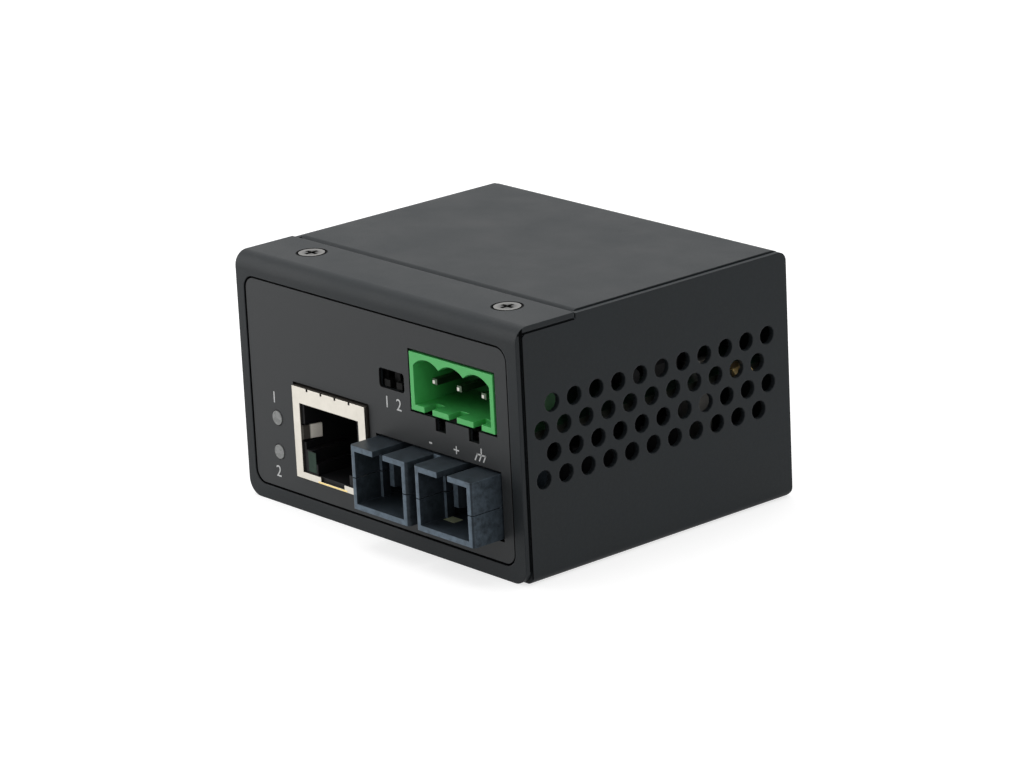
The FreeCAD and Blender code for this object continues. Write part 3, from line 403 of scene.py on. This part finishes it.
def tinned_shell():
    """Tinned sheet of the socket's shield: painted shade on the rim's sides and in the leaves' bend,
    and a painted highlight on the leaves past it.
    """
    look = Finish("tinned_shell")
    soft = look.soft_normal(0.08 * MM)
    cloud = look.noise(2.2 * MM, detail=4.0)
    fine = look.noise(0.5 * MM, roughness=0.7)
    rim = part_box("jack_shield")[0].y
    past_rim = look.beyond(look.axis(1), rim + 0.30 * MM, fade=0.04 * MM)
    bend_shade = past_rim * look.within(look.axis(1), rim + 1.25 * MM, fade=0.20 * MM)
    rim_side_shade = (1 - look.facing(FORWARD)) * (1 - past_rim)
    tone = (0.62, 0.59, 0.53)
    shade_tone = (0.05, 0.043, 0.036)
    colour = look.blend(look.spread(cloud, 0, 0.12), shade(1, tone), shade(0.5, tone))
    colour = look.worn(colour, soft, tone, level=1.08, amount=0.3)
    # painted shade on the rim's sides
    colour = look.blend(rim_side_shade * 0.85, colour, shade(1, shade_tone))
    # painted highlight on the leaves past the rim, less metallic there so that it shows bright
    colour = look.blend(past_rim, colour, shade(1.5, tone))
    # painted shade in the leaves' bend
    colour = look.blend(bend_shade, colour, shade(1, shade_tone))
    roughness = look.spread(cloud, 0.42, 0.54) + look.spread(fine, -0.04, 0.05)
    normal = look.bump(fine, depth=0.01 * MM, strength=0.2, normal=soft)
    return look.surface(Base_Color=colour, Roughness=roughness, Normal=normal,
                        Metallic=1 - past_rim * 0.6)


def pin_metal():
    """Tinned pins, bright at their blunt tips, with painted shade and a green painted reflection on the
    shafts behind.
    """
    look = Finish("tinned_pin")
    soft = look.soft_normal(0.05 * MM)
    fine = look.noise(0.3 * MM, roughness=0.7)
    tip_tone = (0.50, 0.485, 0.45)
    shaft_shade_tone = (0.09, 0.115, 0.085)
    # painted shade and a green painted reflection on the shafts
    colour = look.blend(look.facing(FORWARD), shade(1, shaft_shade_tone), shade(1, tip_tone))
    normal = look.bump(fine, depth=0.01 * MM, strength=0.3, normal=soft)
    return look.surface(Base_Color=colour, Roughness=look.spread(fine, 0.28, 0.42), Normal=normal,
                        Metallic=1.0)


def flange_screw():
    """Plated screws of the front flange, with painted shading of their domed heads: bright at the rim
    and dark round the recess.
    """
    look = Finish("flange_screw")
    soft = look.soft_normal(0.08 * MM)
    fine = look.noise(0.3 * MM, roughness=0.7)
    rim = look.beyond(screw_distance(look), 0.75 * MM, fade=0.80 * MM)
    tone = (0.19, 0.187, 0.18)
    # painted shading of the domed head
    colour = look.blend(rim, shade(0.22, tone), shade(1, tone))
    normal = look.bump(fine, depth=0.012 * MM, strength=0.3, normal=soft)
    return look.surface(Base_Color=colour, Roughness=look.spread(fine, 0.30, 0.42), Normal=normal,
                        Metallic=1.0)


def header_green():
    """Green moulding of the power terminals, with a painted highlight on its front and edges and
    painted shade deep in its shroud.
    """
    look = Finish("green_moulding")
    soft = look.soft_normal(0.10 * MM)
    cloud = look.noise(3.5 * MM)
    pebble = look.noise(0.12 * MM, detail=2.0)
    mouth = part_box("terminal_header")[0].y
    depth_shade = look.spread(look.axis(1), 0, 0.8, mouth + 3.5 * MM, mouth + 8.5 * MM)
    tone = (0.072, 0.47, 0.118)
    depth_shade_tone = (0.012, 0.035, 0.016)
    colour = look.clouded(cloud, tone, dark=0.92, pale=1.08)
    # painted highlight on the front faces
    colour = look.blend(look.facing(FORWARD) * 0.35, colour, shade(1.6, tone))
    colour = look.worn(colour, soft, tone, level=1.6, amount=0.4)
    # painted shade deep in the shroud
    colour = look.blend(depth_shade, colour, shade(1, depth_shade_tone))
    normal = look.bump(pebble, depth=0.010 * MM, strength=0.3, normal=soft)
    return look.surface(Base_Color=colour, Roughness=look.spread(pebble, 0.29, 0.39), Normal=normal,
                        Specular_IOR_Level=0.40)


def sleeved_can():
    """Capacitor cans in a black sleeve, bare on top."""
    look = Finish("can_metal")
    cloud = look.noise(2.0 * MM)
    top = look.facing(UPWARD)
    sleeve_tone = (0.010, 0.010, 0.012)
    top_tone = (0.60, 0.60, 0.60)
    colour = look.blend(top, shade(1, sleeve_tone), shade(1, top_tone))
    return look.surface(Base_Color=colour, Roughness=look.spread(cloud, 0.32, 0.42), Metallic=top)


def board_laminate():
    """Solder mask over glass weave and copper, with painted shade on the board's edges."""
    look = Finish("board_laminate")
    weave = look.node("ShaderNodeTexVoronoi", {"Vector": look.place, "Scale": 1 / (0.6 * MM)})
    traces = look.node("ShaderNodeTexBrick", {"Vector": look.place, "Scale": 1 / (9 * MM),
                                              "Mortar Size": 0.03}, output="Fac")
    flats = look.facing(UPWARD).larger(look.facing(DOWNWARD))
    tone = (0.005, 0.022, 0.011)
    edge_shade_tone = (0.010, 0.012, 0.008)
    colour = look.blend(look.spread(weave, 0, 0.4, 0.0, 0.6), shade(1, tone), shade(1.5, tone))
    colour = look.blend(traces * 0.5, colour, shade(1.9, tone))
    # painted shade on the board's edges
    colour = look.blend(flats, shade(1, edge_shade_tone), colour)
    normal = look.bump(traces, depth=0.03 * MM, strength=0.5)
    return look.surface(Base_Color=colour, Roughness=look.spread(weave, 0.3, 0.42), Normal=normal)


def lens_clear():
    """Milky light pipe."""
    look = Finish("lens_clear")
    soft = look.soft_normal(0.15 * MM)
    cloud = look.noise(0.8 * MM)
    colour = look.clouded(cloud, (0.205, 0.212, 0.208), dark=0.8, pale=1.15)
    return look.surface(Base_Color=colour, Roughness=look.spread(cloud, 0.22, 0.32), Normal=soft,
                        Coat_Weight=0.3)


def white_ink():
    """Screen-printed white ink."""
    look = Finish("white_ink")
    cloud = look.noise(0.15 * MM)
    colour = look.clouded(cloud, (0.74, 0.75, 0.75), dark=0.85, pale=1.05)
    normal = look.bump(cloud, depth=0.003 * MM, strength=0.4)
    return look.surface(Base_Color=colour, Roughness=look.spread(cloud, 0.5, 0.65), Normal=normal)


def slot_finishes():
    """The finishes of the record's slots. The only part of white_moulding has its own."""
    return {
        "case_coat": case_coat(),
        "overlay_film": overlay_film(),
        "bright_screw": metal("bright_screw", (0.16, 0.156, 0.15), rough=0.34),
        "plated_post": metal("plated_post", (0.14, 0.138, 0.13), rough=0.45),
        "brass_metal": metal("brass_metal", (0.90, 0.68, 0.32), rough=0.42),
        "tinned_shell": tinned_shell(),
        "black_moulding": moulding("black_moulding", (0.009, 0.009, 0.010), rough=0.42,
                                   specular=0.12),
        "gold_contact": metal("gold_contact", (0.86, 0.63, 0.26), rough=0.24),
        "slate_moulding": slate_moulding(),
        "white_ceramic": moulding("white_ceramic", (0.78, 0.77, 0.72), rough=0.22,
                                  pebble_depth=0.003 * MM, flow=0.04, edge=1.05),
        "green_moulding": header_green(),
        "tinned_pin": pin_metal(),
        "board_laminate": board_laminate(),
        "lens_clear": lens_clear(),
        "chip_resin": moulding("chip_resin", (0.028, 0.028, 0.029), rough=0.55),
        "can_metal": sleeved_can(),
        "coil_ferrite": moulding("coil_ferrite", (0.075, 0.075, 0.078), rough=0.60,
                                 pebble_depth=0.03 * MM),
    }


def own_finishes():
    """The finishes of the parts that look unlike the rest of their slot."""
    switch_black = moulding("switch_black", (0.004, 0.004, 0.004), rough=0.5, specular=0.06)
    return {
        "cover_screws": flange_screw(),
        "switch_body": switch_black,
        "switch_lever_1": switch_black,
        "switch_lever_2": switch_black,
        "fuse": moulding("fuse_sleeve", (0.012, 0.012, 0.013), rough=0.5),
    }


def dress_parts():
    """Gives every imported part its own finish, or else the finish of its slot."""
    by_slot, own = slot_finishes(), own_finishes()
    for part in frame["record"]["subparts"]:
        node = part["node"]
        finish = own[node] if node in own else by_slot[part["material_slot"]]
        materials = frame["nodes"][node].data.materials
        materials.clear()
        materials.append(finish)


# ---- making pieces ---------------------------------------------------------------------------
def shown(name, data):
    """A new object in the scene."""
    made = bpy.data.objects.new(name, data)
    bpy.context.scene.collection.objects.link(made)
    return made


def mesh_of(name, bm):
    """The mesh that a bmesh has built up."""
    mesh = bpy.data.meshes.new(name)
    bm.to_mesh(mesh)
    bm.free()
    return mesh


def piece(name, mesh, material):
    """Shows a finished mesh as a piece of the fixed body."""
    made = shown(name, mesh)
    mesh.materials.clear()
    mesh.materials.append(material)
    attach(made, "root")


# ---- printed marks ---------------------------------------------------------------------------
def ink_place(x, z):
    """The matrix that moves a mark to x, z on the film's front."""
    return Matrix.Translation((x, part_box("front_overlay")[0].y - INK / 2, z))


def printed_text(name, text, x, z, ink):
    """A number or sign printed on the film, centred on x, z."""
    curve = bpy.data.curves.new(name, type="FONT")
    curve.body = text
    curve.size = MARK_HEIGHT
    curve.align_x = "CENTER"
    curve.align_y = "CENTER"
    curve.extrude = INK / 2
    writing = shown(name + "_writing", curve)
    bpy.context.view_layer.update()
    evaluated = writing.evaluated_get(bpy.context.evaluated_depsgraph_get())
    mesh = bpy.data.meshes.new_from_object(evaluated)
    bpy.data.objects.remove(writing)
    mesh.transform(ink_place(x, z) @ Matrix.Rotation(math.pi / 2, 4, "X"))
    piece(name, mesh, ink)


def stroke(bm, start, end):
    """A straight printed stroke between two points of the face."""
    along = Vector(end) - Vector(start)
    centre = (Vector(start) + Vector(end)) / 2
    turn = Matrix.Rotation(-math.atan2(along.y, along.x), 4, "Y")
    size = Matrix.Diagonal((along.length + STROKE, INK, STROKE, 1))
    bmesh.ops.create_cube(bm, size=1, matrix=ink_place(centre.x, centre.y) @ turn @ size)


def earth_mark(x, z, ink):
    """Chassis earth sign: a stem on a bar with three slanting strokes below."""
    bm = bmesh.new()
    stroke(bm, (x, z + EARTH_HALF), (x, z))
    stroke(bm, (x - EARTH_HALF, z), (x + EARTH_HALF, z))
    for top in (x - EARTH_HALF, x, x + EARTH_HALF):
        stroke(bm, (top, z), (top - EARTH_SLANT, z - EARTH_HALF))
    piece("mark_earth", mesh_of("mark_earth", bm), ink)


def print_face():
    """Numbers by the indicators and the switch, and the signs under the terminals."""
    ink = white_ink()
    above, below = middle("lens_upper"), middle("lens_lower")
    printed_text("mark_lens_1", "1", above.x - LENS_MARK_LEFT, above.z + LENS_MARK_RISE, ink)
    printed_text("mark_lens_2", "2", below.x - LENS_MARK_LEFT, below.z - LENS_MARK_DROP, ink)
    for number in (1, 2):
        lever = middle(f"switch_lever_{number}")
        printed_text(f"mark_switch_{number}", str(number), lever.x, lever.z - LEVER_MARK_DROP, ink)
    header_x = middle("terminal_header").x
    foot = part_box("terminal_header")[0].z
    printed_text("mark_minus", "-", header_x - PIN_PITCH, foot - MINUS_DROP, ink)
    printed_text("mark_plus", "+", header_x + PLUS_RIGHT, foot - PLUS_DROP, ink)
    earth_mark(header_x + PIN_PITCH + EARTH_RIGHT, foot - EARTH_DROP, ink)


# ---- small visible pieces --------------------------------------------------------------------
def slab(name, low, high, edge, material):
    """A thin plate between two corners, with bevelled edges."""
    size = Matrix.Diagonal((*(Vector(high) - Vector(low)), 1))
    place = Matrix.Translation((Vector(high) + Vector(low)) / 2)
    bm = bmesh.new()
    bmesh.ops.create_cube(bm, size=1, matrix=place @ size)
    bmesh.ops.bevel(bm, geom=bm.edges[:], offset=edge, affect="EDGES", segments=2, profile=0.5,
                    material=-1)
    piece(name, mesh_of(name, bm), material)


def skin(name, left, right, bottom, top, face, material):
    """A thin plate on a part's front."""
    slab(name, (left, face - SKIN_PROUD, bottom), (right, face + SKIN_SUNK, top), SKIN_EDGE,
         material)


def port_pad():
    """Pale patch of painted light on the floor of the right optical port, where light falls in through
    its key slot.
    """
    port_x = middle("optic_core_right").x
    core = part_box("optic_core_right")[0]
    finish = moulding("painted_light_patch", (0.44, 0.48, 0.31), rough=0.55, edge=1.1)
    slab("port_pad", (port_x - PATCH_LEFT, core.y - PATCH_FRONT, core.z),
         (port_x - PATCH_RIGHT, core.y - PATCH_BACK, core.z + PATCH_THICKNESS), PATCH_EDGE,
         finish)


def latch_strip():
    """Plated edge of the sheet below the socket's latch slot."""
    slot_x = middle("jack_shield").x
    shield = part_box("jack_shield")[0]
    skin("latch_strip", slot_x - STRIP_HALF, slot_x + STRIP_HALF, shield.z + STRIP_BOTTOM,
         shield.z + STRIP_TOP, shield.y, bpy.data.materials["gold_contact"])


def key_face():
    """Smoky green face of the insert's keying ledge, low in the socket's left corner."""
    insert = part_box("jack_insert")[0]
    finish = moulding("smoke_green", (0.022, 0.050, 0.034), rough=0.40, flow=0.45, specular=0.12,
                      edge=1.2)
    skin("key_face", insert.x + KEY_LEFT, insert.x + KEY_RIGHT, insert.z + KEY_BOTTOM,
         insert.z + KEY_TOP, insert.y, finish)


# ---- studio ----------------------------------------------------------------------------------
def camera_sees(look):
    """1 for what the camera sees, itself or in metal and glass, and 0 for light on the object."""
    direct, mirrored, through_glass = [
        look.node("ShaderNodeLightPath", output=ray)
        for ray in ("Is Camera Ray", "Is Glossy Ray", "Is Transmission Ray")]
    return direct.larger(mirrored).larger(through_glass)


def floor():
    """Pale floor that keeps the object's shadow."""
    bm = bmesh.new()
    bmesh.ops.create_grid(bm, x_segments=1, y_segments=1, size=FLOOR_HALF)
    bmesh.ops.translate(bm, verts=bm.verts, vec=(0, 0, -FLOOR_DROP))
    plane = shown("floor", mesh_of("floor", bm))
    material = bpy.data.materials.new("floor_white")
    material.use_nodes = True
    look = Graph(material.node_tree)
    paint = look.node("ShaderNodeBsdfDiffuse", {"Color": (FLOOR_TONE,) * 3 + (1,)})
    glow = look.node("ShaderNodeEmission", {"Strength": camera_sees(look) * FLOOR_GLOW})
    both = look.node("ShaderNodeAddShader", {0: paint, 1: glow})
    look.node("ShaderNodeOutputMaterial", {"Surface": both})
    plane.data.materials.append(material)


def room():
    """Room that the camera sees white and that gives a weak even light."""
    world = bpy.data.worlds.new("room")
    bpy.context.scene.world = world
    world.use_nodes = True
    look = Graph(world.node_tree)
    level = camera_sees(look) * (1 - ROOM_LEVEL) + ROOM_LEVEL
    light = look.node("ShaderNodeBackground", {"Color": (1, 1, 1, 1), "Strength": level})
    look.node("ShaderNodeOutputWorld", {"Surface": light})


def lamp(name, place, aim, size, power):
    """Soft square lamp that faces a point."""
    light = bpy.data.lights.new(name, type="AREA")
    light.size = size
    light.energy = power
    made = shown(name, light)
    made.location = place
    made.rotation_mode = "QUATERNION"
    made.rotation_quaternion = (Vector(aim) - Vector(place)).to_track_quat("-Z", "Y")


def lamps():
    """Softbox overhead, a low lamp off the face's left end, and a weak one for the side wall."""
    case, left_end = (0, 0, 0.02), (-0.02, -0.02, 0.02)
    lamp("overhead", place=(-0.10, 0.10, 0.70), aim=case, size=0.60, power=3.3)
    lamp("face", place=(-0.26, -0.15, 0.10), aim=left_end, size=0.26, power=0.50)
    lamp("side", place=(0.60, -0.10, 0.25), aim=case, size=0.40, power=0.55)


def case_middle():
    """Middle of the case, without what stands out of its face."""
    low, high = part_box("front_cover")
    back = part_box("top_cover")[1].y
    return Vector(((low.x + high.x) / 2, (low.y + back) / 2, (low.z + high.z) / 2))


def camera():
    """Camera that looks at the case from its front right."""
    sin_a, cos_a = math.sin(VIEW_AZIMUTH), math.cos(VIEW_AZIMUTH)
    sin_e, cos_e = math.sin(VIEW_ELEVATION), math.cos(VIEW_ELEVATION)
    behind = Vector((sin_a * cos_e, -cos_a * cos_e, sin_e))
    level = Vector((cos_a, sin_a, 0))
    upright = behind.cross(level)
    right = level * math.cos(VIEW_ROLL) + upright * math.sin(VIEW_ROLL)
    up = behind.cross(right)
    data = bpy.data.cameras.new("camera")
    data.sensor_width = SENSOR_WIDTH
    data.lens = LENS
    data.clip_start = CLIP_NEAR
    data.clip_end = CLIP_FAR
    made = shown("camera", data)
    place = case_middle() + behind * VIEW_DISTANCE - right * VIEW_RIGHT - up * VIEW_UP
    turn = Matrix((right, up, behind)).transposed().to_4x4()
    made.matrix_world = Matrix.Translation(place) @ turn
    bpy.context.scene.camera = made


dress_parts()
print_face()
port_pad()
latch_strip()
key_face()
floor()
room()
lamps()
camera()
bpy.context.scene.view_settings.view_transform = "Standard"
